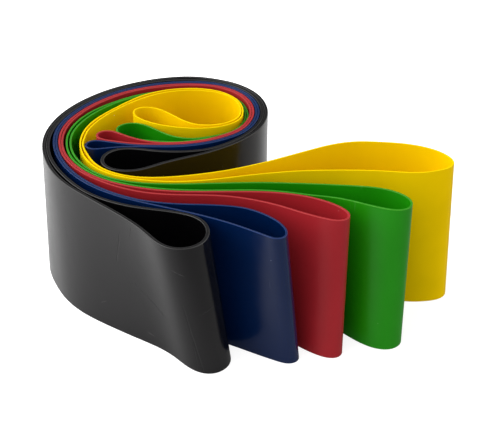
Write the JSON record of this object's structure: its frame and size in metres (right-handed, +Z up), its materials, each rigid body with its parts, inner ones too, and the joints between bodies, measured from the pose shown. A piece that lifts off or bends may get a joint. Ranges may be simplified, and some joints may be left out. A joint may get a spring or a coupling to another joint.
{
  "type": "resistance band set",
  "caption": "Flat rubber loop bands of graded thickness, nested in one loose coil standing on edge, each free to be lifted out and stretched for exercise.",
  "frame": {"origin": "centre of the whole coil's outline, at the level of the lower edges it stands on", "axes": "+X towards the yellow band's free end, +Y away from the side with the free ends, +Z up along the bands' width"},
  "size_m": [0.1452, 0.1236, 0.05],
  "materials": {
    "rubber_black": "satin moulded rubber",
    "rubber_blue": "satin moulded rubber",
    "rubber_red": "satin moulded rubber",
    "rubber_green": "satin moulded rubber",
    "rubber_yellow": "satin moulded rubber"
  },
  "bodies": {
    "black": {"band_black": "rubber_black"},
    "blue": {"band_blue": "rubber_blue"},
    "red": {"band_red": "rubber_red"},
    "green": {"band_green": "rubber_green"},
    "yellow": {"band_yellow": "rubber_yellow"}
  },
  "joints": [
    {"name": "blue_lift", "type": "slide", "parent": "black", "child": "blue", "axis": [0, 0, 1], "range_m": [0, 0.06]},
    {"name": "red_lift", "type": "slide", "parent": "black", "child": "red", "axis": [0, 0, 1], "range_m": [0, 0.06]},
    {"name": "green_lift", "type": "slide", "parent": "black", "child": "green", "axis": [0, 0, 1], "range_m": [0, 0.06]},
    {"name": "yellow_lift", "type": "slide", "parent": "black", "child": "yellow", "axis": [0, 0, 1], "range_m": [0, 0.06]}
  ]
}
